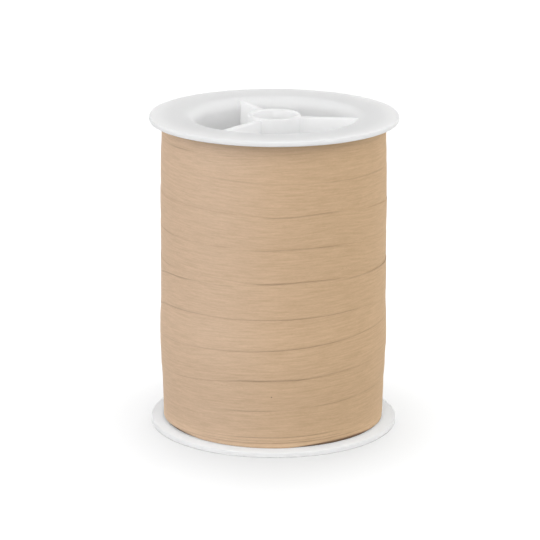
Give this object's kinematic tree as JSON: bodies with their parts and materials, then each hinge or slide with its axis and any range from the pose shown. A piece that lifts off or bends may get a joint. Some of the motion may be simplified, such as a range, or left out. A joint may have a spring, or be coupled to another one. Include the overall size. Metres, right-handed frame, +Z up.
{
  "type": "gift ribbon reel",
  "caption": "Upright flanged moulded reel with an open ribbed hub and a through bore, wound full with level turns of flat kraft-coloured paper-look ribbon.",
  "frame": {"origin": "centre of the lower flange's outer face, which the reel stands on", "axes": "+Z up along the hub bore, -Y towards the front, +X to the right seen from the front"},
  "size_m": [0.076, 0.076, 0.097],
  "materials": {
    "reel_plastic": "white moulded polystyrene, satin",
    "ribbon": "kraft-coloured polypropylene ribbon with a matte, finely ribbed paper look"
  },
  "bodies": {
    "root": {"lower_half": "reel_plastic", "upper_half": "reel_plastic", "inner_windings": "ribbon", "outer_turns": "ribbon"}
  },
  "joints": []
}
